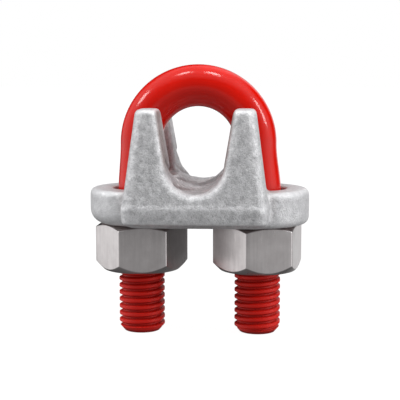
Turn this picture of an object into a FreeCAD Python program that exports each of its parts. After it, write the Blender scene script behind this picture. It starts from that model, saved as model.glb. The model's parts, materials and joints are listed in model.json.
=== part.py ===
"""Wire rope clip for 12.7 mm rope: a U-bolt, a forged saddle and two heavy hexagon nuts.

Frame: the rope runs along Y and the two legs of the U-bolt stand at -X and +X.
+Z points up to the bow. The origin is on the ground midway between the two leg ends,
so the clip stands on its leg ends at Z = 0. Lengths are in millimetres, angles in degrees.
"""
import math
import os

import FreeCAD
import Part
import Sketcher

# Driving dimensions. The remarks say what each one measures.
DIMENSIONS = [
    ("leg_spacing", 32.2, "centre to centre of the two legs"),
    ("thread_diameter", 12.7, "1/2-13 UNC, over the crests"),
    ("thread_pitch", 1.954, "13 turns to the inch"),
    ("thread_root", 10.5, "leg diameter at the bottom of the thread"),
    ("thread_top", 37.2, "height where the leg thread ends, inside the ear"),
    ("thread_phase", 0.9, "height of the first crest on the outer side of each leg"),
    ("bow_diameter", 11.4, "bar diameter round the bow"),
    ("bow_spacing", 31.5, "centre to centre of the bar where the bow begins"),
    ("bow_height", 52.4, "height of the centre of the bow's half circle"),
    ("taper_start", 39.0, "height where the leg starts to thin and lean towards the bow"),
    ("leg_end_diameter", 9.8, "flat on the end of each leg"),
    ("leg_end_chamfer", 1.7, "height of the chamfer at each leg end"),
    ("nut_across", 22.2, "across flats, heavy hexagon"),
    ("nut_thickness", 12.9, "nut height"),
    ("nut_bottom", 17.5, "height of the lower face of both nuts"),
    ("nut_face", 21.0, "diameter of the flat ring on the lower end of a nut"),
    ("nut_face_angle", 45.0, "slope of the lower corner chamfer"),
    ("nut_seat", 21.4, "diameter of the flat ring on the upper end, which bears on the saddle"),
    ("nut_seat_angle", 30.0, "slope of the upper corner chamfer"),
    ("nut_minor", 11.0, "bore of a nut, over its thread crests"),
    ("nut_sink", 13.4, "countersink at both ends of a nut's bore"),
    ("thread_gap", 0.1, "play between the nut and leg threads"),
    ("nut_left_turned", 7.2, "where the corners of the left nut stopped, from +X"),
    ("nut_right_turned", 17.0, "where the corners of the right nut stopped, from +X"),
    ("ear_radius", 14.1, "round end of the saddle, about a leg's axis"),
    ("ear_top", 40.2, "height of the face that surrounds a leg"),
    ("hole_diameter", 15.4, "clearance hole for a leg"),
    ("block_width", 38.6, "saddle across X at the parting line"),
    ("block_depth", 48.6, "saddle along the rope at the parting line"),
    ("parting_height", 37.3, "height of the die parting line"),
    ("foot_depth", 26.0, "flat of the saddle's base along the rope"),
    ("foot_inset", 0.6, "how far the flat stops short of the block's lower edge, each side"),
    ("heel_height", 32.9, "height of the block's lower edge in front and behind"),
    ("lower_draft", 0.3, "how far the block narrows from parting line to base, each side"),
    ("parting_step", 0.4, "how far the upper die's half stands back at the parting line"),
    ("prong_top", 62.3, "height of the four prong tips"),
    ("prong_top_width", 31.2, "across the outer sides of the prongs at the tips"),
    ("prong_top_depth", 42.0, "over the prong tips along the rope"),
    ("seat_radius", 7.4, "rope trough, on the crests of its ridges"),
    ("seat_floor", 40.6, "height of the lowest line of the trough"),
    ("seat_flare", 9.5, "lean of the trough walls from upright"),
    ("strand_depth", 0.85, "depth of the slanting grooves in the trough"),
    ("strand_round", 1.05, "radius of a groove's bottom"),
    ("strand_start", -17.0, "where a groove meets the back rim, from the lowest line"),
    ("strand_stop", 4.5, "how far short of the front face the grooves end"),
    ("rope_lead", 110.0, "length of rope in which a strand goes once round"),
    ("slot_floor_width", 15.8, "gap between front and back prongs at the bottom"),
    ("slot_top_width", 17.6, "the same gap at the prong tips"),
    ("slot_sill", 43.6, "height of the trough wall left between two prongs"),
    ("rim_round", 2.2, "rounding of the trough's front and back rims"),
    ("tip_round", 1.2, "rounding of the prong tips"),
    ("gap_round", 1.6, "rounding of the prongs' edges towards the legs"),
    ("ear_top_round", 1.5, "rounding of the ears' upper edge"),
    ("ear_left_round", 4.0, "rounding of the left ear's lower edge, worn dies"),
    ("ear_right_round", 2.0, "rounding of the right ear's lower edge"),
    ("corner_round", 3.0, "rounding of the upright corners of the block"),
]

CLEAR = 1  # how far a cutting sketch reaches past the metal
OVERCUT = 0.15  # the same for the thread cutters, which must not reach the next turn
TOUCH = 0.1  # an edge this close to a plane counts as lying on it

doc = FreeCAD.newDocument("wire_rope_clip")


def make_sheet():
    """Put the driving dimensions in a spreadsheet, one alias for each."""
    dims = doc.addObject("Spreadsheet::Sheet", "Dims")
    for row, (alias, number, remark) in enumerate(DIMENSIONS, start=1):
        dims.set(f"A{row}", alias)
        dims.set(f"B{row}", str(number))
        dims.set(f"C{row}", remark)
        dims.setAlias(f"B{row}", alias)
    doc.recompute()
    return dims


sheet = make_sheet()


def size(expression):
    """The present value of an expression, as a plain number."""
    return float(sheet.evalExpression(expression))


def new_body(label):
    """An empty body, which becomes one piece of the clip."""
    body = doc.addObject("PartDesign::Body", label)
    body.Label = label
    return body


def new_sketch(body, plane, name, offset=None):
    """A sketch on one of the body's own planes, lifted along the plane's normal by offset."""
    sketch = body.newObject("Sketcher::SketchObject", name)
    roles = {feature.Role: feature for feature in body.Origin.OriginFeatures}
    sketch.AttachmentSupport = [(roles[plane], "")]
    sketch.MapMode = "FlatFace"
    if offset:
        sketch.setExpression("AttachmentOffset.Base.z", offset)
    return sketch


def pin_point(sketch, element, end, across, up):
    """Hold one end of an element at two expressions measured from the sketch's origin."""
    for kind, expression in (("DistanceX", across), ("DistanceY", up)):
        held = Sketcher.Constraint(kind, -1, 1, element, end, size(expression))
        index = sketch.addConstraint(held)
        sketch.setExpression(f"Constraints[{index}]", expression)


def corner_arc(before, corner, after, radius):
    """The arc of a radius that rounds a corner, and whether it runs clockwise."""
    back = (before - corner).normalize()
    ahead = (after - corner).normalize()
    half = back.getAngle(ahead) / 2
    setback = radius / math.tan(half)
    inward = (back + ahead).normalize()
    centre = corner + inward * (radius / math.sin(half))
    first = corner + back * setback - centre
    last = corner + ahead * setback - centre
    clockwise = first.cross(last).z < 0
    if clockwise:
        first, last = last, first
    circle = Part.Circle(centre, FreeCAD.Vector(0, 0, 1), radius)
    begin = math.atan2(first.y, first.x)
    end = math.atan2(last.y, last.x)
    return Part.ArcOfCircle(circle, begin, end), clockwise


def draw_outline(sketch, corners):
    """A closed outline through corners, each (across, up) or (across, up, radius).

    Across, up and radius are expressions. A corner with a radius becomes a tangent arc.
    """
    points = [FreeCAD.Vector(size(corner[0]), size(corner[1]), 0) for corner in corners]
    count = len(points)
    leave = list(points)
    arrive = list(points)
    arcs = {}
    for index, corner in enumerate(corners):
        if len(corner) == 3:
            before = points[index - 1]
            after = points[(index + 1) % count]
            arc, clockwise = corner_arc(before, points[index], after, size(corner[2]))
            ends = (arc.StartPoint, arc.EndPoint)
            arrive[index], leave[index] = reversed(ends) if clockwise else ends
            arcs[index] = (sketch.addGeometry(arc, False), clockwise)
    lines = []
    for index in range(count):
        side = Part.LineSegment(leave[index], arrive[(index + 1) % count])
        lines.append(sketch.addGeometry(side, False))
    for index, corner in enumerate(corners):
        incoming, outgoing = lines[index - 1], lines[index]
        if index not in arcs:
            sketch.addConstraint(Sketcher.Constraint("Coincident", incoming, 2, outgoing, 1))
            pin_point(sketch, outgoing, 1, corner[0], corner[1])
            continue
        arc, clockwise = arcs[index]
        first, last = (2, 1) if clockwise else (1, 2)
        sketch.addConstraint(Sketcher.Constraint("Tangent", incoming, 2, arc, first))
        sketch.addConstraint(Sketcher.Constraint("Tangent", arc, last, outgoing, 1))
        radius = sketch.addConstraint(Sketcher.Constraint("Radius", arc, size(corner[2])))
        sketch.setExpression(f"Constraints[{radius}]", corner[2])
        vertex = sketch.addGeometry(Part.Point(points[index]), True)
        pin_point(sketch, vertex, 1, corner[0], corner[1])
        sketch.addConstraint(Sketcher.Constraint("PointOnObject", vertex, 1, incoming))
        sketch.addConstraint(Sketcher.Constraint("PointOnObject", vertex, 1, outgoing))


def draw_circle(sketch, across, up, radius):
    """A full circle whose centre and radius follow expressions."""
    centre = FreeCAD.Vector(size(across), size(up), 0)
    normal = FreeCAD.Vector(0, 0, 1)
    element = sketch.addGeometry(Part.Circle(centre, normal, size(radius)), False)
    pin_point(sketch, element, 3, across, up)
    index = sketch.addConstraint(Sketcher.Constraint("Radius", element, size(radius)))
    sketch.setExpression(f"Constraints[{index}]", radius)


def draw_axis(sketch, across):
    """A construction line parallel to the sketch's upright axis; returns its reference name."""
    foot = FreeCAD.Vector(size(across), 0, 0)
    head = FreeCAD.Vector(size(across), 10, 0)
    element = sketch.addGeometry(Part.LineSegment(foot, head), True)
    pin_point(sketch, element, 1, across, "0")
    pin_point(sketch, element, 2, across, "10")
    return "Axis0"


def revolve(body, sketch, axis, name, angle=360.0, cut=False, reverse=False):
    """Turn a sketch about one of its own axes, adding or removing the swept solid."""
    kind = "PartDesign::Groove" if cut else "PartDesign::Revolution"
    feature = body.newObject(kind, name)
    feature.Profile = sketch
    feature.ReferenceAxis = (sketch, [axis])
    feature.Angle = angle
    feature.Reversed = reverse
    return feature


def helical_cut(body, sketch, axis, name, rise):
    """Cut a right-hand helical groove of the thread's pitch, rising by an expression."""
    feature = body.newObject("PartDesign::SubtractiveHelix", name)
    feature.Profile = sketch
    feature.ReferenceAxis = (sketch, [axis])
    feature.Mode = "pitch-height-angle"
    feature.setExpression("Pitch", "Dims.thread_pitch")
    feature.setExpression("Height", rise)
    feature.Angle = 0
    return feature


def loft(body, name, first, second):
    """A straight-sided solid between two sections."""
    feature = body.newObject("PartDesign::AdditiveLoft", name)
    feature.Profile = first
    feature.Sections = [second]
    feature.Ruled = True
    return feature


LEG = "Dims.leg_spacing / 2"
CREST = "Dims.thread_diameter / 2"
CREST_FLAT = "Dims.thread_pitch / 8"
FLANK = "tan(30 deg)"


def make_u_bolt():
    """One bent bar: two threaded legs, each thinning into a half-circle bow."""
    body = new_body("u_bolt")

    leg = new_sketch(body, "XZ_Plane", "LegProfile")
    outer = f"{LEG} + {CREST}"
    draw_outline(leg, [
        (LEG, "0"),
        (f"{LEG} + Dims.leg_end_diameter / 2", "0"),
        (outer, "Dims.leg_end_chamfer"),
        (outer, "Dims.taper_start"),
        (LEG, "Dims.taper_start"),
    ])
    leg_axis = draw_axis(leg, LEG)
    shank = revolve(body, leg, leg_axis, "Leg")

    # The groove starts below the leg's end, half a pitch from a crest.
    start = "Dims.thread_phase - 1.5 * Dims.thread_pitch"
    root = f"{LEG} + Dims.thread_root / 2"
    rim = f"{LEG} + {CREST} + {OVERCUT}"
    crest_half = f"(Dims.thread_pitch - {CREST_FLAT}) / 2"
    root_half = f"{crest_half} - {FLANK} * ({CREST} - Dims.thread_root / 2)"
    rim_half = f"{crest_half} + {FLANK} * {OVERCUT}"
    groove = new_sketch(body, "XZ_Plane", "LegThreadProfile")
    draw_outline(groove, [
        (root, f"{start} - ({root_half})"),
        (rim, f"{start} - ({rim_half})"),
        (rim, f"{start} + ({rim_half})"),
        (root, f"{start} + ({root_half})"),
    ])
    groove_axis = draw_axis(groove, LEG)
    thread = helical_cut(body, groove, groove_axis, "LegThread", f"Dims.thread_top - ({start})")

    # Above the thread the leg thins and leans in a little to meet the bow.
    bow_side = "Dims.bow_spacing / 2"
    straight = new_sketch(body, "XY_Plane", "LegTop", "Dims.taper_start")
    draw_circle(straight, LEG, "0", CREST)
    bar = new_sketch(body, "XY_Plane", "BowSection", "Dims.bow_height")
    draw_circle(bar, bow_side, "0", "Dims.bow_diameter / 2")
    neck = loft(body, "Neck", straight, bar)

    pair = body.newObject("PartDesign::PolarPattern", "LegPair")
    pair.Originals = [shank, thread, neck]
    pair.Axis = (leg, ["V_Axis"])
    pair.Angle = 360
    pair.Occurrences = 2
    body.Tip = pair

    revolve(body, bar, "V_Axis", "Bow", angle=180.0, reverse=True)
    return body


def make_nut(label, side, turned):
    """A heavy hexagon nut about its own axis, its lower face at its own Z = 0.

    side is +1 or -1, the leg that the nut is on; turned is the alias of the angle from
    +X at which one of its corners stands.
    """
    body = new_body(label)
    corner = "Dims.nut_across / 2 / cos(30 deg)"

    plan = new_sketch(body, "XY_Plane", "Hexagon")
    facing = 0 if side > 0 else 180
    angles = [f"({60 * step - facing} deg + Dims.{turned} * 1 deg)" for step in range(6)]
    draw_outline(plan, [(f"{corner} * cos{angle}", f"{corner} * sin{angle}") for angle in angles])
    pad = body.newObject("PartDesign::Pad", "Hexagonal")
    pad.Profile = plan
    pad.setExpression("Length", "Dims.nut_thickness")

    # A cone takes the corners off both ends, a flatter one where the nut bears.
    outside = f"({corner} + {CLEAR})"
    above = f"Dims.nut_thickness + {CLEAR}"
    face = "Dims.nut_face / 2"
    rise = f"({outside} - {face}) * tan(Dims.nut_face_angle * 1 deg)"
    lower = new_sketch(body, "XZ_Plane", "LowerCorners")
    draw_outline(lower, [
        (face, "0"),
        (outside, rise),
        (outside, f"-{CLEAR}"),
        (face, f"-{CLEAR}"),
    ])
    revolve(body, lower, "V_Axis", "LowerChamfer", cut=True)
    seat = "Dims.nut_seat / 2"
    drop = f"({outside} - {seat}) * tan(Dims.nut_seat_angle * 1 deg)"
    upper = new_sketch(body, "XZ_Plane", "UpperCorners")
    draw_outline(upper, [
        (seat, "Dims.nut_thickness"),
        (seat, above),
        (outside, above),
        (outside, f"Dims.nut_thickness - {drop}"),
    ])
    revolve(body, upper, "V_Axis", "UpperChamfer", cut=True)

    # The bore, opened out by a countersink at both ends.
    bore = new_sketch(body, "XZ_Plane", "Bore")
    minor = "Dims.nut_minor / 2"
    sink = "Dims.nut_sink / 2"
    draw_outline(bore, [
        ("0", f"-{CLEAR}"),
        (f"{sink} + {CLEAR}", f"-{CLEAR}"),
        (minor, f"{sink} - {minor}"),
        (minor, f"Dims.nut_thickness - ({sink} - {minor})"),
        (f"{sink} + {CLEAR}", above),
        ("0", above),
    ])
    revolve(body, bore, "V_Axis", "ThroughBore", cut=True)

    # The nut's groove follows the crest of the leg's thread, one pitch below the nut.
    turns_below = "floor((Dims.nut_bottom - Dims.thread_phase) / Dims.thread_pitch) - 1"
    start = f"Dims.thread_phase + ({turns_below}) * Dims.thread_pitch - Dims.nut_bottom"
    near = f"{minor} - {OVERCUT}"
    far = f"{CREST} + Dims.thread_gap"
    near_half = f"{CREST_FLAT} / 2 + {FLANK} * ({CREST} - ({near})) + Dims.thread_gap"
    far_half = f"{CREST_FLAT} / 2 + {FLANK} * ({CREST} - ({far})) + Dims.thread_gap"
    groove = new_sketch(body, "XZ_Plane", "NutThreadProfile")
    draw_outline(groove, [
        (near, f"{start} - ({near_half})"),
        (far, f"{start} - ({far_half})"),
        (far, f"{start} + ({far_half})"),
        (near, f"{start} + ({near_half})"),
    ])
    helical_cut(body, groove, "V_Axis", "NutThread",
                f"Dims.nut_thickness + 3 * Dims.thread_pitch")

    turn = FreeCAD.Rotation(FreeCAD.Vector(0, 0, 1), facing)
    body.Placement = FreeCAD.Placement(FreeCAD.Vector(0, 0, 0), turn)
    body.setExpression("Placement.Base.x", f"{side} * {LEG}")
    body.setExpression("Placement.Base.z", "Dims.nut_bottom")
    return body


def cut_both_ways(body, sketch, name):
    """Cut a sketch right through the body, both ways from its plane."""
    pocket = body.newObject("PartDesign::Pocket", name)
    pocket.Profile = sketch
    pocket.Type = 1
    pocket.Midplane = True
    return pocket


def rounded_section(body, name, height, half_width, half_depth):
    """A centred rectangle with round corners at a height, one section of the forged block."""
    section = new_sketch(body, "XY_Plane", name, height)
    radius = "Dims.corner_round"
    upward = FreeCAD.Vector(0, 0, 1)
    corners = [(1, 1), (-1, 1), (-1, -1), (1, -1)]
    rounds = []
    for step, (right, back) in enumerate(corners):
        across = right * size(f"{half_width} - {radius}")
        deep = back * size(f"{half_depth} - {radius}")
        circle = Part.Circle(FreeCAD.Vector(across, deep, 0), upward, size(radius))
        begin = step * math.pi / 2
        arc = Part.ArcOfCircle(circle, begin, begin + math.pi / 2)
        rounds.append(section.addGeometry(arc, False))
    for step, (right, back) in enumerate(corners):
        here = rounds[step]
        there = rounds[(step + 1) % 4]
        ends = (section.Geometry[here].EndPoint, section.Geometry[there].StartPoint)
        side = section.addGeometry(Part.LineSegment(*ends), False)
        section.addConstraint(Sketcher.Constraint("Tangent", here, 2, side, 1))
        section.addConstraint(Sketcher.Constraint("Tangent", side, 2, there, 1))
    for here, (right, back) in zip(rounds, corners):
        pin_point(section, here, 3, f"{right} * ({half_width} - {radius})",
                  f"{back} * ({half_depth} - {radius})")
        index = section.addConstraint(Sketcher.Constraint("Radius", here, size(radius)))
        section.setExpression(f"Constraints[{index}]", radius)
    return section


def edge_names(feature, wanted):
    """Names of the feature's edges that pass a test."""
    edges = enumerate(feature.Shape.Edges, start=1)
    return [f"Edge{number}" for number, edge in edges if wanted(edge)]


def round_edges(body, name, base, wanted, radius):
    """Round the edges of the feature base that pass a test."""
    fillet = body.newObject("PartDesign::Fillet", name)
    fillet.Base = (base, edge_names(base, wanted))
    fillet.setExpression("Radius", radius)
    doc.recompute()
    return fillet


SADDLE_BASE = "(Dims.nut_bottom + Dims.nut_thickness)"


def is_seat_rim(edge):
    """The edges where the trough meets the front and back faces, short of the prong tips."""
    box = edge.BoundBox
    in_trough = max(abs(box.XMin), abs(box.XMax)) < size("Dims.prong_top_width * 3 / 8")
    at_face = min(abs(box.YMin), abs(box.YMax)) > size("Dims.prong_top_depth / 2") - TOUCH
    return in_trough and at_face and box.ZMin < size("Dims.prong_top") - TOUCH


def is_prong_tip(edge):
    """The edges round the four flat tips."""
    return edge.BoundBox.ZMin > size("Dims.prong_top") - TOUCH


def is_prong_side(edge):
    """The upright edges of the four prongs that face the legs."""
    box = edge.BoundBox
    by_leg = max(abs(box.YMin), abs(box.YMax)) < size("Dims.slot_top_width / 2") + TOUCH
    return by_leg and box.ZLength > size("(Dims.prong_top - Dims.slot_sill) / 2")


def make_saddle():
    """The forging: ears round the legs, a deep block, four prongs and the rope trough."""
    body = new_body("saddle")

    # The block and its prongs are a stack of tapered slices. The two dies met at the
    # parting line, where the upper one stands back a little.
    width = "Dims.block_width / 2"
    depth = "Dims.block_depth / 2"
    draft = "Dims.lower_draft"
    foot = rounded_section(body, "FootSection", SADDLE_BASE,
                           f"{width} - {draft} - Dims.foot_inset", "Dims.foot_depth / 2")
    heel = rounded_section(body, "HeelSection", "Dims.heel_height",
                           f"{width} - {draft}", f"{depth} - {draft}")
    parting = rounded_section(body, "PartingSection", "Dims.parting_height", width, depth)
    ledge = rounded_section(body, "LedgeSection", "Dims.parting_height",
                            f"{width} - Dims.parting_step", f"{depth} - Dims.parting_step")
    top = rounded_section(body, "TopSection", "Dims.prong_top",
                          "Dims.prong_top_width / 2", "Dims.prong_top_depth / 2")
    loft(body, "Foot", foot, heel)
    loft(body, "LowerBlock", heel, parting)
    loft(body, "UpperBlock", ledge, top)

    # An ear round each leg, its profile turned about the leg's axis.
    for side, name in ((-1, "Left"), (1, "Right")):
        axis_place = f"{side} * {LEG}"
        rim = f"{side} * ({LEG} + Dims.ear_radius)"
        ear = new_sketch(body, "XZ_Plane", f"{name}EarProfile")
        draw_outline(ear, [
            (axis_place, SADDLE_BASE),
            (rim, SADDLE_BASE, f"Dims.ear_{name.lower()}_round"),
            (rim, "Dims.ear_top", "Dims.ear_top_round"),
            (axis_place, "Dims.ear_top"),
        ])
        revolve(body, ear, draw_axis(ear, axis_place), f"{name}Ear")

    # The trough: a round floor and two walls that lean outwards, tangent to it.
    seat = "Dims.seat_radius"
    centre = f"(Dims.seat_floor + {seat})"
    floor_plan = new_sketch(body, "XZ_Plane", "SeatCircle")
    draw_circle(floor_plan, "0", centre, seat)
    cut_both_ways(body, floor_plan, "SeatFloor")
    lean = "(Dims.seat_flare * 1 deg)"
    foot_across = f"{seat} * cos({lean})"
    foot_up = f"{centre} - {seat} * sin({lean})"
    above = f"(Dims.prong_top + {CLEAR})"
    head_across = f"({foot_across} + ({above} - ({foot_up})) * tan({lean}))"
    walls = new_sketch(body, "XZ_Plane", "SeatWalls")
    draw_outline(walls, [
        (f"-({foot_across})", foot_up),
        (foot_across, foot_up),
        (head_across, above),
        (f"-{head_across}", above),
    ])
    opened = cut_both_ways(body, walls, "SeatOpening")
    doc.recompute()
    round_edges(body, "SeatRims", opened, is_seat_rim, "Dims.rim_round")

    # The gap that parts the front prongs from the back ones, wider at the tips.
    gap = new_sketch(body, "YZ_Plane", "GapProfile")
    draw_outline(gap, [
        ("-Dims.slot_floor_width / 2", "Dims.slot_sill"),
        ("Dims.slot_floor_width / 2", "Dims.slot_sill"),
        ("Dims.slot_top_width / 2", above),
        ("-Dims.slot_top_width / 2", above),
    ])
    parted = cut_both_ways(body, gap, "ProngGap")
    doc.recompute()
    sided = round_edges(body, "ProngSides", parted, is_prong_side, "Dims.gap_round")
    round_edges(body, "ProngTips", sided, is_prong_tip, "Dims.tip_round")

    # Outside the legs the gap goes down to the ears.
    beyond = f"({width} + {CLEAR})"
    landing = new_sketch(body, "XY_Plane", "EarLanding", "Dims.ear_top")
    draw_outline(landing, [
        (LEG, "-Dims.slot_floor_width / 2"),
        (beyond, "-Dims.slot_floor_width / 2"),
        (beyond, "Dims.slot_floor_width / 2"),
        (LEG, "Dims.slot_floor_width / 2"),
    ])
    right = body.newObject("PartDesign::Pocket", "RightLanding")
    right.Profile = landing
    right.Reversed = True
    right.setExpression("Length", "Dims.slot_sill - Dims.ear_top")
    mirrored = body.newObject("PartDesign::Mirrored", "LeftLanding")
    mirrored.Originals = [right]
    mirrored.MirrorPlane = (landing, ["V_Axis"])
    body.Tip = mirrored

    # The holes for the legs.
    holes = new_sketch(body, "XY_Plane", "LegHoles")
    for side in ("", "-"):
        draw_circle(holes, f"{side}({LEG})", "0", "Dims.hole_diameter / 2")
    cut_both_ways(body, holes, "LegHolePair")

    # Slanting grooves for the strands of the rope.
    strand = new_sketch(body, "XZ_Plane", "StrandSection")
    strand.setExpression("AttachmentOffset.Base.y", centre)
    strand.setExpression("AttachmentOffset.Base.z", f"-({depth} + {CLEAR})")
    reach = f"({seat} + Dims.strand_depth - Dims.strand_round)"
    start = "(Dims.strand_start * 1 deg)"
    draw_circle(strand, f"{reach} * sin{start}", f"-{reach} * cos{start}", "Dims.strand_round")
    groove = body.newObject("PartDesign::SubtractiveHelix", "StrandGroove")
    groove.Profile = strand
    groove.ReferenceAxis = (strand, ["N_Axis"])
    groove.Mode = "pitch-height-angle"
    groove.setExpression("Pitch", "Dims.rope_lead")
    groove.setExpression("Height", f"Dims.block_depth + {CLEAR} - Dims.strand_stop")
    groove.LeftHanded = True
    lay = body.newObject("PartDesign::PolarPattern", "StrandGrooves")
    lay.Originals = [groove]
    lay.Axis = (strand, ["N_Axis"])
    lay.Angle = 360
    lay.Occurrences = 6
    body.Tip = lay
    doc.recompute()
    return body


def check_and_export(bodies):
    """Stop if anything failed to build, then write one file for each piece."""
    doc.recompute()
    for item in doc.Objects:
        if "Invalid" in item.State or "Error" in item.State:
            raise RuntimeError(f"{item.Label} did not build")
    os.makedirs("parts", exist_ok=True)
    for body in bodies:
        shape = body.Shape
        if shape.isNull() or not shape.isValid() or len(shape.Solids) != 1:
            raise RuntimeError(f"{body.Label} is not one valid solid")
        shape.exportStep(f"parts/{body.Label}.step")
        print(f"{body.Label}: {shape.Volume:.0f} cubic millimetres")


check_and_export([
    make_u_bolt(),
    make_saddle(),
    make_nut("nut_left", -1, "nut_left_turned"),
    make_nut("nut_right", 1, "nut_right_turned"),
])
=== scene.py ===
"""The looks of a wire rope clip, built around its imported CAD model.

The U-bolt and the nuts are swept grids with rounded thread crests and softened edges.
The saddle is the forging with its edges worn round and its galvanised skin roughened.
Constants are in millimetres and degrees unless a remark says otherwise; meshes are in metres.
"""
import json
import math

import bpy
import numpy as np
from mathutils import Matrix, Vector


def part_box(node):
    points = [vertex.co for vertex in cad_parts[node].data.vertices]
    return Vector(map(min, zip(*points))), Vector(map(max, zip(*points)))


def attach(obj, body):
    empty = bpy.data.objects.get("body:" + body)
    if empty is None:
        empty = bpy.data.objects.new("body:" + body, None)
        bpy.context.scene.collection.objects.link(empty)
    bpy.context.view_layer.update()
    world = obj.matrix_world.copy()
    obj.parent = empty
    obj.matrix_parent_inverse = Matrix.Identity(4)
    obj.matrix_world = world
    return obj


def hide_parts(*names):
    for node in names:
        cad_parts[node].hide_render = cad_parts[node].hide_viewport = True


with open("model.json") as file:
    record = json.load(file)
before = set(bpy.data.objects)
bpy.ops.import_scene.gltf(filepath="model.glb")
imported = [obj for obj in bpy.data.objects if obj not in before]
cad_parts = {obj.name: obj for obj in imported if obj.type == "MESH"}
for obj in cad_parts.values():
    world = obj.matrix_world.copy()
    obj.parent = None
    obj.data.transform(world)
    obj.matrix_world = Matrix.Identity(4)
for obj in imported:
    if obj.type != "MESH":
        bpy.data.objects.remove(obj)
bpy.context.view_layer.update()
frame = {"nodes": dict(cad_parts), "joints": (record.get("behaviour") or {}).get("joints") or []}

MM = 0.001

# The thread, 1/2-13 UNC, and the bar of the U-bolt.
PITCH = 1.954
CREST_RADIUS = 6.35
ROOT_RADIUS = 5.55
THREAD_PHASE = 0.9
CREST_SHARE = 0.36
FLANK_ANGLE = 30
THREAD_SOFTNESS = 0.035
THREAD_END = 37.2
THREAD_FADE = 0.9
BOW_RADIUS = 5.7
BOW_SPREAD = 15.75
BOW_OFFSET = -0.3
BOW_HEIGHT = 52.4
TAPER_START = 39.0
END_RADIUS = 4.9
END_CHAMFER = 1.7
AROUND = 120
STEPS_PER_TURN = 30
PLAIN_STEPS = 22
BOW_STEPS = 98

# The nuts.
NUT_FACE_RADIUS = 10.5
NUT_FACE_SLOPE = 1.0
NUT_SEAT_RADIUS = 10.7
NUT_SEAT_SLOPE = math.tan(math.radians(30))
NUT_SINK_RADIUS = 6.7
NUT_MINOR_RADIUS = 5.5
NUT_FLAT = 11.1
NUT_TURNED = {"nut_left": 7.2, "nut_right": 17.0}
NUT_CORNER_ROUND = 0.5
NUT_CORNER_STEPS = 6
NUT_FLAT_STEPS = 8
NUT_END_ROUNDS = [0.25, 0.5, 0.35]
NUT_END_STEPS = 4
NUT_BORE_STEPS = 110
THREAD_PLAY = 0.1
LONGEST_SETBACK = 0.45  # of a side, where two roundings would meet

# The saddle's even mesh and how far its edges are worn.
SADDLE_GRAIN = 0.34
SADDLE_SMOOTHING = 0.5
SADDLE_PASSES = 24

# Colours, from the darkest mottle to the lightest.
ENAMEL = [(0.62, 0.0060, 0.0012), (0.69, 0.0075, 0.0018)]
ZINC_SKIN = [(0.38, 0.38, 0.392), (0.58, 0.58, 0.594), (0.80, 0.80, 0.815)]
ZINC_SKIN_STOPS = [0.32, 0.5, 0.68]
ZINC_CALM = [(0.58, 0.58, 0.594), (0.70, 0.70, 0.714)]
ZINC_WORN_AND_HIGHLIT = [(0.90, 0.90, 0.92), (0.97, 0.97, 0.98)]
TROUGH_GRIME_AND_SHADE = (0.68, 0.58, 0.56)
PRONG_PAINTED_SHADE = [(0.20, 0.165, 0.155), (0.34, 0.29, 0.28)]
PLATING = [(0.53, 0.50, 0.50), (0.62, 0.59, 0.59)]
CLOUD_LOW, CLOUD_HIGH = 0.3, 0.7  # most of a noise's values lie between these

# Where the looks change, in metres, as (from, to).
WHOLE_BOLT = (0.0, 0.060)
PARTING_LINE = (0.034, 0.0415)
EARS = (0.018, 0.022)
GRIME_AND_SHADE_HEIGHTS = (0.044, 0.058)
ABOVE_TROUGH_FLOOR = (0.0445, 0.049)
FRONT_PRONGS = (-0.016, -0.008)

# How far round a point its cover is felt, in metres.
GROOVE_REACH = 0.0012
TROUGH_REACH = 0.012


def joint_place(name):
    """Where a joint's axis stands, in millimetres."""
    found = next(joint for joint in frame["joints"] if joint["name"] == name)
    return [value / MM for value in found["pos_m"]]


LEG_X = joint_place("nut_right_turn")[0]


def new_object(name, points, faces):
    """A smooth mesh object from points in millimetres and lists of corner numbers."""
    mesh = bpy.data.meshes.new(name)
    mesh.from_pydata([tuple(point) for point in np.asarray(points) * MM], [], faces)
    mesh.validate()
    mesh.polygons.foreach_set("use_smooth", [True] * len(mesh.polygons))
    made = bpy.data.objects.new(name, mesh)
    bpy.context.scene.collection.objects.link(made)
    return made


def grid_faces(rows, columns, wrap_rows=False):
    """Quads of a grid whose columns close on themselves, and its rows too if asked."""
    faces = []
    for row in range(rows if wrap_rows else rows - 1):
        here = row * columns
        there = (row + 1) % rows * columns
        for column in range(columns):
            beside = (column + 1) % columns
            faces.append((here + column, here + beside, there + beside, there + column))
    return faces


def soft_positive(value):
    """The value where it is above zero and zero elsewhere, with a softened bend between."""
    return (np.sqrt(value ** 2 + THREAD_SOFTNESS ** 2) + value) / 2


def thread_radius(height, turned, crest, root):
    """Radius of a right-hand thread with softened crests, turned in turns from the phase."""
    turns = (height - THREAD_PHASE) / PITCH - turned
    from_crest = np.abs(turns - np.round(turns)) * PITCH
    flat = PITCH * CREST_SHARE / 2
    slope = 1 / math.tan(math.radians(FLANK_ANGLE))
    drop = slope * soft_positive(from_crest - flat)
    deepest = crest - root
    drop = deepest - soft_positive(deepest - drop)
    return crest - np.maximum(drop, 0)


def smooth_step(share):
    """An even start and finish between 0 and 1."""
    return share * share * (3 - 2 * share)


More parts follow.
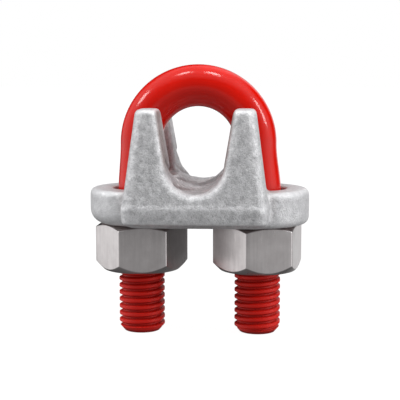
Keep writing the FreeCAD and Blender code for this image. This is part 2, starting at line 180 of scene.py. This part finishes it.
def make_u_bolt():
    """Both threaded legs and the bow, swept as one tube from the left leg's end to the right."""
    thread_rows = np.arange(0, THREAD_END + THREAD_FADE, PITCH / STEPS_PER_TURN)
    plain_rows = np.linspace(THREAD_END + THREAD_FADE, BOW_HEIGHT, PLAIN_STEPS)[1:]
    heights = np.concatenate([thread_rows, plain_rows])
    around = np.arange(AROUND) * 2 * math.pi / AROUND
    taper = np.clip((heights - TAPER_START) / (BOW_HEIGHT - TAPER_START), 0, 1)
    plain = CREST_RADIUS + (BOW_RADIUS - CREST_RADIUS) * smooth_step(taper)
    end_cone = END_RADIUS + (CREST_RADIUS - END_RADIUS) * heights / END_CHAMFER
    fade = np.clip((heights - THREAD_END) / THREAD_FADE, 0, 1)
    legs = {}
    for side in (-1, 1):
        grooved = thread_radius(heights[:, None], side * around[None, :] / (2 * math.pi),
                                CREST_RADIUS, ROOT_RADIUS)
        grooved = grooved + (plain[:, None] - grooved) * fade[:, None]
        grooved = np.where(heights[:, None] > THREAD_END + THREAD_FADE, plain[:, None], grooved)
        radius = np.minimum(grooved, end_cone[:, None])
        lean = smooth_step(taper)[:, None]
        axis = side * LEG_X + (BOW_OFFSET + side * (BOW_SPREAD - LEG_X)) * lean
        legs[side] = np.stack([axis + side * radius * np.cos(around), radius * np.sin(around),
                               np.broadcast_to(heights[:, None], radius.shape)], axis=-1)
    bow = []
    for angle in np.linspace(math.pi, 0, BOW_STEPS)[1:-1]:
        reach = BOW_SPREAD + BOW_RADIUS * np.cos(around)
        bow.append(np.stack([BOW_OFFSET + reach * math.cos(angle), BOW_RADIUS * np.sin(around),
                             BOW_HEIGHT + reach * math.sin(angle)], axis=-1))
    rings = np.concatenate([legs[-1], np.array(bow), legs[1][::-1]])
    points = rings.reshape(-1, 3)
    faces = grid_faces(len(rings), AROUND)
    points = np.concatenate([points, [[-LEG_X, 0, 0], [LEG_X, 0, 0]]])
    last = (len(rings) - 1) * AROUND
    left_tip, right_tip = len(points) - 2, len(points) - 1
    for column in range(AROUND):
        beside = (column + 1) % AROUND
        faces.append((left_tip, beside, column))
        faces.append((right_tip, last + column, last + beside))
    # The faces come out looking inwards, so each is turned round.
    faces = [face[::-1] for face in faces]
    return new_object("u_bolt_enamelled", points, faces)


def rounded_corners(corners, radii, steps):
    """A polyline through corners with each inner one rounded; every arc has steps + 1 points."""
    line = [np.array(corners[0], float)]
    for before, corner, after, radius in zip(corners, corners[1:], corners[2:], radii):
        corner = np.array(corner, float)
        back = np.array(before, float) - corner
        ahead = np.array(after, float) - corner
        back_length, ahead_length = np.linalg.norm(back), np.linalg.norm(ahead)
        back, ahead = back / back_length, ahead / ahead_length
        half = math.acos(np.clip(back @ ahead, -1, 1)) / 2
        longest = LONGEST_SETBACK * min(back_length, ahead_length)
        setback = min(radius / math.tan(half), longest)
        radius = setback * math.tan(half)
        inward = back + ahead
        centre = corner + inward / np.linalg.norm(inward) * (radius / math.sin(half))
        first = corner + back * setback - centre
        last = corner + ahead * setback - centre
        turn = math.atan2(first[0] * last[1] - first[1] * last[0], first @ last)
        for step in range(steps + 1):
            angle = turn * step / steps
            cosine, sine = math.cos(angle), math.sin(angle)
            line.append(centre + np.array([first[0] * cosine - first[1] * sine,
                                           first[0] * sine + first[1] * cosine]))
    line.append(np.array(corners[-1], float))
    return line


def hexagon_outline(turned):
    """Points round a hexagon with a corner at turned degrees, as (angle, radius) pairs."""
    corner = NUT_FLAT / math.cos(math.pi / 6)
    angles = [math.radians(turned + 60 * step) for step in range(7)]
    corners = [(corner * math.cos(angle), corner * math.sin(angle)) for angle in angles]
    outline = []
    for step in range(6):
        middle_before = np.add(corners[step - 1 if step else 5], corners[step]) / 2
        middle_after = np.add(corners[step], corners[step + 1]) / 2
        part = rounded_corners([middle_before, corners[step], middle_after],
                               [NUT_CORNER_ROUND], NUT_CORNER_STEPS)
        start = np.linspace(part[0], part[1], NUT_FLAT_STEPS)[:-1]
        finish = np.linspace(part[-2], part[-1], NUT_FLAT_STEPS)[1:-1]
        outline.extend(start)
        outline.extend(part[1:-1])
        outline.extend(finish)
    return [(math.atan2(y, x), math.hypot(x, y)) for x, y in outline]


def nut_end(outer, half, face, slope):
    """Half of a nut's section from bore to flat, as (radius, depth from the end) pairs."""
    corners = [
        (NUT_MINOR_RADIUS, NUT_SINK_RADIUS - NUT_MINOR_RADIUS),
        (NUT_SINK_RADIUS, 0),
        (face, 0),
        (outer, (outer - face) * slope),
        (outer, half),
    ]
    return rounded_corners(corners, NUT_END_ROUNDS, NUT_END_STEPS)[1:]


def make_nut(node):
    """A heavy hexagon nut in the place of its CAD node."""
    low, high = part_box(node)
    bottom, top = low.z / MM, high.z / MM
    thickness = top - bottom
    side = -1 if node == "nut_left" else 1
    outward = 0 if side > 0 else math.pi
    outline = hexagon_outline(NUT_TURNED[node])
    sink = NUT_SINK_RADIUS - NUT_MINOR_RADIUS
    bore_heights = np.linspace(sink, thickness - sink, NUT_BORE_STEPS)
    columns = []
    for angle, outer in outline:
        upper = nut_end(outer, thickness / 2, NUT_SEAT_RADIUS, NUT_SEAT_SLOPE)
        upper = [(radius, thickness - depth) for radius, depth in upper]
        lower = nut_end(outer, thickness / 2, NUT_FACE_RADIUS, NUT_FACE_SLOPE)[::-1][1:]
        turned = (angle - outward) / (2 * math.pi)
        grooved = thread_radius(bore_heights + bottom, turned, CREST_RADIUS + THREAD_PLAY,
                                NUT_MINOR_RADIUS)
        bore = list(zip(grooved, bore_heights))
        columns.append(upper + lower + bore)
    columns = np.array(columns)
    angles = np.array([angle for angle, _ in outline])
    radius, height = columns[:, :, 0], columns[:, :, 1]
    points = np.stack([side * LEG_X + radius * np.cos(angles)[:, None],
                       radius * np.sin(angles)[:, None], height + bottom], axis=-1)
    rows = points.transpose(1, 0, 2)
    faces = grid_faces(rows.shape[0], rows.shape[1], wrap_rows=True)
    faces = [face[::-1] for face in faces]
    return new_object(f"{node}_plated", rows.reshape(-1, 3), faces)


def evaluated_copy(source, name):
    """A new object holding the source's mesh with its modifiers applied."""
    graph = bpy.context.evaluated_depsgraph_get()
    mesh = bpy.data.meshes.new_from_object(source.evaluated_get(graph))
    mesh.name = name
    made = bpy.data.objects.new(name, mesh)
    bpy.context.scene.collection.objects.link(made)
    return made


def make_saddle():
    """The forging, remeshed evenly, its edges worn round and its skin slightly uneven."""
    rough = bpy.data.objects.new("saddle_rough", frame["nodes"]["saddle"].data.copy())
    bpy.context.scene.collection.objects.link(rough)
    remesh = rough.modifiers.new("Even", "REMESH")
    remesh.mode = "VOXEL"
    remesh.voxel_size = SADDLE_GRAIN * MM
    soften = rough.modifiers.new("Soften", "SMOOTH")
    soften.factor = SADDLE_SMOOTHING
    soften.iterations = SADDLE_PASSES
    bpy.context.view_layer.update()
    made = evaluated_copy(rough, "saddle_galvanised")
    bpy.data.objects.remove(rough)
    made.data.materials.clear()
    made.data.polygons.foreach_set("use_smooth", [True] * len(made.data.polygons))
    return made


class Shader:
    """A node material built up by short calls."""

    def __init__(self, name):
        self.material = bpy.data.materials.new(name)
        self.material.use_nodes = True
        self.tree = self.material.node_tree
        self.surface = self.tree.nodes["Principled BSDF"]
        self.place = self.tree.nodes.new("ShaderNodeTexCoord").outputs["Object"]

    def set(self, **values):
        """Fix some of the surface's own sockets; underscores stand for spaces."""
        for name, value in values.items():
            self.surface.inputs[name.replace("_", " ")].default_value = value

    def link(self, output, socket):
        """Feed a surface socket."""
        self.tree.links.new(output, self.surface.inputs[socket])

    def noise(self, scale, detail=4.0, roughness=0.55, stretch=None):
        """Cloudy noise in object space, scale in spots per metre, drawn out by stretch."""
        node = self.tree.nodes.new("ShaderNodeTexNoise")
        place = self.place
        if stretch:
            mapping = self.tree.nodes.new("ShaderNodeMapping")
            mapping.inputs["Scale"].default_value = stretch
            self.tree.links.new(place, mapping.inputs["Vector"])
            place = mapping.outputs["Vector"]
        self.tree.links.new(place, node.inputs["Vector"])
        node.inputs["Scale"].default_value = scale
        node.inputs["Detail"].default_value = detail
        node.inputs["Roughness"].default_value = roughness
        return node.outputs["Fac"]

    def coordinate(self, axis):
        """One coordinate of the point in object space, in metres."""
        split = self.tree.nodes.new("ShaderNodeSeparateXYZ")
        self.tree.links.new(self.place, split.inputs["Vector"])
        return split.outputs[axis]

    def spread(self, value, low, high):
        """A value that runs from low to high, brought to 0 to 1."""
        node = self.tree.nodes.new("ShaderNodeMapRange")
        node.inputs["From Min"].default_value = low
        node.inputs["From Max"].default_value = high
        self.tree.links.new(value, node.inputs["Value"])
        return node.outputs["Result"]

    def height(self, low, high):
        """Height in metres spread over 0 to 1."""
        return self.spread(self.coordinate("Z"), low, high)

    def beyond(self, near, far):
        """Distance from the middle plane between the legs, spread over 0 to 1."""
        size = self.tree.nodes.new("ShaderNodeMath")
        size.operation = "ABSOLUTE"
        self.tree.links.new(self.coordinate("X"), size.inputs[0])
        return self.spread(size.outputs["Value"], near, far)

    def openness(self, reach):
        """How much of the sky a point sees within a reach in metres, from 0 to 1."""
        node = self.tree.nodes.new("ShaderNodeAmbientOcclusion")
        node.inputs["Distance"].default_value = reach
        return node.outputs["AO"]

    def facing_middle(self, low, high):
        """How far a face turns to the middle plane between the legs, spread over 0 to 1."""
        normal = self.tree.nodes.new("ShaderNodeNewGeometry").outputs["Normal"]
        split = self.tree.nodes.new("ShaderNodeSeparateXYZ")
        self.tree.links.new(normal, split.inputs["Vector"])
        side = self.tree.nodes.new("ShaderNodeMath")
        side.operation = "SIGN"
        self.tree.links.new(self.coordinate("X"), side.inputs[0])
        outwards = self.tree.nodes.new("ShaderNodeMath")
        outwards.operation = "MULTIPLY"
        self.tree.links.new(split.outputs["X"], outwards.inputs[0])
        self.tree.links.new(side.outputs["Value"], outwards.inputs[1])
        return self.spread(outwards.outputs["Value"], -low, -high)

    def edges(self):
        """How convex the mesh is; a flat face is one half, an edge is above."""
        return self.tree.nodes.new("ShaderNodeNewGeometry").outputs["Pointiness"]

    def ramp(self, source, *stops):
        """Colours along a factor; a stop is (position, grey) or (position, (r, g, b))."""
        node = self.tree.nodes.new("ShaderNodeValToRGB")
        self.tree.links.new(source, node.inputs["Fac"])
        elements = node.color_ramp.elements
        while len(elements) < len(stops):
            elements.new(0.5)
        for element, (position, colour) in zip(elements, stops):
            element.position = position
            colour = (colour,) * 3 if isinstance(colour, (int, float)) else colour
            element.color = (*colour, 1)
        return node.outputs["Color"]

    def mottle(self, cloud, dark, light):
        """Two tones or values laid over a noise."""
        return self.ramp(cloud, (CLOUD_LOW, dark), (CLOUD_HIGH, light))

    def blend(self, kind, amount, first, second):
        """Mix two colours; amount is a number or an output."""
        node = self.tree.nodes.new("ShaderNodeMix")
        node.data_type = "RGBA"
        node.blend_type = kind
        if isinstance(amount, (int, float)):
            node.inputs["Factor"].default_value = amount
        else:
            self.tree.links.new(amount, node.inputs["Factor"])
        for socket, value in (("A", first), ("B", second)):
            target = next(s for s in node.inputs if s.name == socket and s.type == "RGBA")
            self.tree.links.new(value, target)
        return next(s for s in node.outputs if s.type == "RGBA")

    def bump(self, height, strength, distance, under=None):
        """A bump from a height output, over another bump if given."""
        node = self.tree.nodes.new("ShaderNodeBump")
        node.inputs["Strength"].default_value = strength
        node.inputs["Distance"].default_value = distance
        self.tree.links.new(height, node.inputs["Height"])
        if under:
            self.tree.links.new(under, node.inputs["Normal"])
        return node.outputs["Normal"]


def red_enamel():
    """Thick glossy red paint with a faint orange-peel surface, duller on the threads, with
    painted shade darkening the thread roots.
    """
    shader = Shader("red_enamel")
    paint = shader.mottle(shader.noise(120, 3), *ENAMEL)
    # Painted shade: the enamel is darkened where the thread roots and other grooves close in.
    painted_groove_shade = shader.ramp(shader.openness(GROOVE_REACH), (0.45, 0.45), (0.85, 1.0))
    shader.link(shader.blend("MULTIPLY", 1.0, paint, painted_groove_shade), "Base Color")
    dull_to_glossy = shader.ramp(shader.height(*WHOLE_BOLT), (0.60, 0.50), (0.70, 0.15))
    shader.link(dull_to_glossy, "Roughness")
    shader.set(Specular_IOR_Level=0.30)
    shader.link(shader.bump(shader.noise(900, 2), 0.12, 0.0002), "Normal")
    return shader.material


def galvanised():
    """Hot-dip zinc on a forging: light mottled grey, pitted, half dull, rubbed at the edges with
    painted highlights there, painted shade in the trough and on the front prongs' inner faces.
    """
    shader = Shader("galvanised_steel")
    cloud = shader.noise(600, 8, 0.72)
    speck = shader.noise(2600, 3, 0.6)
    base = shader.ramp(cloud, *zip(ZINC_SKIN_STOPS, ZINC_SKIN))
    specks = shader.ramp(speck, (0.34, 0.40), (0.46, 1.0))
    mottled = shader.blend("MULTIPLY", 0.55, base, specks)
    ears = shader.ramp(shader.beyond(*EARS), (0, 0), (1, 0.75))
    mottled = shader.blend("MIX", ears, mottled, shader.mottle(cloud, *ZINC_CALM))
    # Every edge is rubbed bright and given a painted highlight, less so the step at the parting
    # line.
    convex = shader.ramp(shader.edges(), (0.505, 0.0), (0.535, 0.9))
    spared = shader.ramp(shader.height(*PARTING_LINE), (0.25, 1.0), (0.45, 0.12), (0.6, 0.12),
                         (0.8, 1.0))
    worn_and_highlit = shader.blend("MULTIPLY", 1.0, convex, spared)
    rubbed_and_highlit = shader.blend("MIX", worn_and_highlit, mottled, shader.mottle(cloud, *ZINC_WORN_AND_HIGHLIT))
    # Grime and painted shade darken the trough and its creases, and thin out up the prongs.
    depth = shader.ramp(shader.height(*GRIME_AND_SHADE_HEIGHTS), (0.0, 1.0), (1.0, 0.25))
    grime_and_shade = shader.ramp(shader.openness(TROUGH_REACH), (0.42, TROUGH_GRIME_AND_SHADE), (0.84, 1.0))
    soiled_and_shaded = shader.blend("MULTIPLY", depth, rubbed_and_highlit, grime_and_shade)
    # Painted shade with a painted red-brown reflection of the bolt darkens the front prongs'
    # inner faces, above the trough's floor.
    inward = shader.ramp(shader.facing_middle(0.62, 0.94), (0, 0.0), (1, 1.0))
    front = shader.ramp(shader.spread(shader.coordinate("Y"), *FRONT_PRONGS), (0, 1.0), (1, 0.0))
    risen = shader.ramp(shader.height(*ABOVE_TROUGH_FLOOR), (0, 0.0), (1, 0.85))
    prong_shade_mask = shader.blend("MULTIPLY", 1.0, shader.blend("MULTIPLY", 1.0, inward, front), risen)
    prong_shaded = shader.blend("MIX", prong_shade_mask, soiled_and_shaded, shader.mottle(cloud, *PRONG_PAINTED_SHADE))
    shader.link(prong_shaded, "Base Color")
    dull, smooth = shader.mottle(cloud, 0.62, 0.42), shader.mottle(cloud, 0.38, 0.30)
    shader.link(shader.blend("MIX", worn_and_highlit, dull, smooth), "Roughness")
    shader.set(Metallic=0.45)
    pits = shader.bump(speck, 0.35, 0.0004)
    shader.link(shader.bump(cloud, 0.4, 0.0008, pits), "Normal")
    return shader.material


def zinc_plate():
    """Bright zinc plating over drawn hexagon bar, its flats faintly streaked end to end."""
    shader = Shader("zinc_plate")
    cloud = shader.noise(300, 5, 0.6)
    streak = shader.noise(1400, 3, 0.6, stretch=(1, 1, 0.06))
    base = shader.mottle(cloud, *PLATING)
    lines = shader.ramp(streak, (0.35, 0.88), (0.6, 1.0))
    shader.link(shader.blend("MULTIPLY", 0.6, base, lines), "Base Color")
    shader.link(shader.mottle(streak, 0.33, 0.27), "Roughness")
    shader.set(Metallic=1.0)
    shader.link(shader.bump(streak, 0.05, 0.0002), "Normal")
    return shader.material


def finish_piece(piece, node, body, material):
    """Give a piece its material and let it stand for its CAD node."""
    piece.data.materials.append(material)
    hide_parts(node)
    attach(piece, body)


zinc = zinc_plate()
finish_piece(make_u_bolt(), "u_bolt", "u_bolt", red_enamel())
finish_piece(make_saddle(), "saddle", "saddle", galvanised())
for nut in ("nut_left", "nut_right"):
    finish_piece(make_nut(nut), nut, nut, zinc)


# The floor, the light and the camera.
# The walls' brightness by bearing, in degrees from straight behind, positive to the right.
WALLS = [(-180, 0.16), (-150, 0.24), (-115, 0.80), (-90, 1.15), (-62, 1.0), (-42, 0.06),
         (-5, 0.0), (8, 0.5), (22, 1.2), (34, 0.6), (42, 0.0), (64, 0.0), (80, 1.0),
         (100, 1.6), (120, 1.1), (136, 0.42), (152, 0.17), (180, 0.16)]
# By the sine of the elevation: the walls' share, the table and the ceiling.
WALL_RISE = [(-1, 0.0), (-0.5, 0.15), (-0.2, 0.95), (0, 1.0), (0.5, 1.0), (0.9, 0.2), (1, 0.1)]
TABLE = [(-1, 0.24), (-0.7, 0.28), (-0.35, 0.32), (-0.08, 0.32), (0.04, 0.0), (1, 0.0)]
CEILING = [(-1, 0.0), (0.6, 0.0), (0.8, 0.9), (1, 0.9)]
# The table's share by bearing: it falls off behind.
TABLE_ROUND = [(-180, 1.0), (-80, 1.0), (-40, 0.25), (40, 0.25), (80, 1.0), (180, 1.0)]

# The floor glows by itself, so it stays pale whatever the lamps do. Its half width is in metres.
FLOOR_HALF = 3.0
FLOOR_GREY = 0.04
FLOOR_GLOW = 0.98

# Each lamp's name, place, width and height in millimetres, and radiance.
LAMP_TARGET = (0, 0, 50)
LAMPS = [
    ("top_left_box", (-145, -108, 620), 85, 130, 18),
    ("top_right_box", (103, -108, 632), 115, 130, 18),
    ("left_box", (-474, -99, 384), 150, 130, 14),
    ("right_box", (531, -135, 300), 90, 260, 17),
]

# The camera stands in front, a little to the right and above. The azimuth is in degrees.
CAMERA_AZIMUTH = 3.475
CAMERA_DISTANCE = 300.1
CAMERA_HEIGHT = 74.08
TARGET = (0.125, 0.0, 36.57)
FOCAL_LENGTH = 98.39
SENSOR_WIDTH = 36.0
NEAREST = 10


def make_floor():
    """A plain pale floor."""
    half = FLOOR_HALF
    corners = [(-half, -half, 0), (half, -half, 0), (half, half, 0), (-half, half, 0)]
    mesh = bpy.data.meshes.new("floor")
    mesh.from_pydata(corners, [], [(0, 1, 2, 3)])
    made = bpy.data.objects.new("floor", mesh)
    bpy.context.scene.collection.objects.link(made)
    pale = bpy.data.materials.new("floor_pale")
    pale.use_nodes = True
    surface = pale.node_tree.nodes["Principled BSDF"]
    surface.inputs["Base Color"].default_value = (FLOOR_GREY,) * 3 + (1,)
    surface.inputs["Roughness"].default_value = 1.0
    surface.inputs["Emission Color"].default_value = (1, 1, 1, 1)
    surface.inputs["Emission Strength"].default_value = FLOOR_GLOW
    mesh.materials.append(pale)
    made.visible_diffuse = False
    made.visible_glossy = False


def profile(tree, source, low, high, stops):
    """Brightness along a value that runs from low to high, as (place, grey) stops."""
    spread = tree.nodes.new("ShaderNodeMapRange")
    spread.inputs["From Min"].default_value = low
    spread.inputs["From Max"].default_value = high
    tree.links.new(source, spread.inputs["Value"])
    ramp = tree.nodes.new("ShaderNodeValToRGB")
    tree.links.new(spread.outputs["Result"], ramp.inputs["Fac"])
    elements = ramp.color_ramp.elements
    while len(elements) < len(stops):
        elements.new(0.5)
    first, last = stops[0][0], stops[-1][0]
    for element, (place, grey) in zip(elements, stops):
        element.position = (place - first) / (last - first)
        element.color = (grey, grey, grey, 1)
    return ramp.outputs["Color"]


def combine(tree, kind, first, second):
    """Two outputs added or multiplied."""
    node = tree.nodes.new("ShaderNodeMath")
    node.operation = kind
    tree.links.new(first, node.inputs[0])
    tree.links.new(second, node.inputs[1])
    return node.outputs["Value"]


def make_world():
    """White to the camera; for the rest a studio with bright walls and a pale table."""
    world = bpy.data.worlds.new("studio")
    world.use_nodes = True
    bpy.context.scene.world = world
    tree = world.node_tree
    room = tree.nodes["Background"]
    direction = tree.nodes.new("ShaderNodeTexCoord").outputs["Generated"]
    split = tree.nodes.new("ShaderNodeSeparateXYZ")
    tree.links.new(direction, split.inputs["Vector"])
    bearing = tree.nodes.new("ShaderNodeMath")
    bearing.operation = "ARCTAN2"
    tree.links.new(split.outputs["X"], bearing.inputs[0])
    tree.links.new(split.outputs["Y"], bearing.inputs[1])

    around, up = bearing.outputs["Value"], split.outputs["Z"]
    walls = combine(tree, "MULTIPLY", profile(tree, around, -math.pi, math.pi, WALLS),
                    profile(tree, up, -1, 1, WALL_RISE))
    table = combine(tree, "MULTIPLY", profile(tree, up, -1, 1, TABLE),
                    profile(tree, around, -math.pi, math.pi, TABLE_ROUND))
    ceiling = profile(tree, up, -1, 1, CEILING)
    strength = combine(tree, "ADD", walls, combine(tree, "ADD", table, ceiling))
    tree.links.new(strength, room.inputs["Strength"])
    room.inputs["Color"].default_value = (1, 1, 1, 1)
    backdrop = tree.nodes.new("ShaderNodeBackground")
    backdrop.inputs["Color"].default_value = (1, 1, 1, 1)
    path = tree.nodes.new("ShaderNodeLightPath")
    chooser = tree.nodes.new("ShaderNodeMixShader")
    tree.links.new(path.outputs["Is Camera Ray"], chooser.inputs["Fac"])
    tree.links.new(room.outputs["Background"], chooser.inputs[1])
    tree.links.new(backdrop.outputs["Background"], chooser.inputs[2])
    tree.links.new(chooser.outputs["Shader"], tree.nodes["World Output"].inputs["Surface"])


def area_light(name, place, width, height, brightness):
    """A soft rectangular lamp that looks at the clip."""
    data = bpy.data.lights.new(name, "AREA")
    data.shape = "RECTANGLE"
    data.size = width * MM
    data.size_y = height * MM
    data.energy = brightness * math.pi * width * height * MM * MM
    lamp = bpy.data.objects.new(name, data)
    lamp.location = Vector(place) * MM
    aim = (Vector(LAMP_TARGET) - Vector(place)).to_track_quat("-Z", "Y")
    lamp.rotation_euler = aim.to_euler()
    bpy.context.scene.collection.objects.link(lamp)


def make_camera():
    """The camera, looking slightly down at the middle of the clip."""
    data = bpy.data.cameras.new("camera")
    data.sensor_width = SENSOR_WIDTH
    data.lens = FOCAL_LENGTH
    data.clip_start = NEAREST * MM
    camera = bpy.data.objects.new("camera", data)
    angle = math.radians(CAMERA_AZIMUTH)
    place = Vector((CAMERA_DISTANCE * math.sin(angle), -CAMERA_DISTANCE * math.cos(angle),
                    CAMERA_HEIGHT))
    camera.location = place * MM
    camera.rotation_euler = (Vector(TARGET) - place).to_track_quat("-Z", "Y").to_euler()
    bpy.context.scene.collection.objects.link(camera)
    bpy.context.scene.camera = camera


make_floor()
make_world()
for lamp in LAMPS:
    area_light(*lamp)
make_camera()
bpy.context.scene.view_settings.view_transform = "Standard"
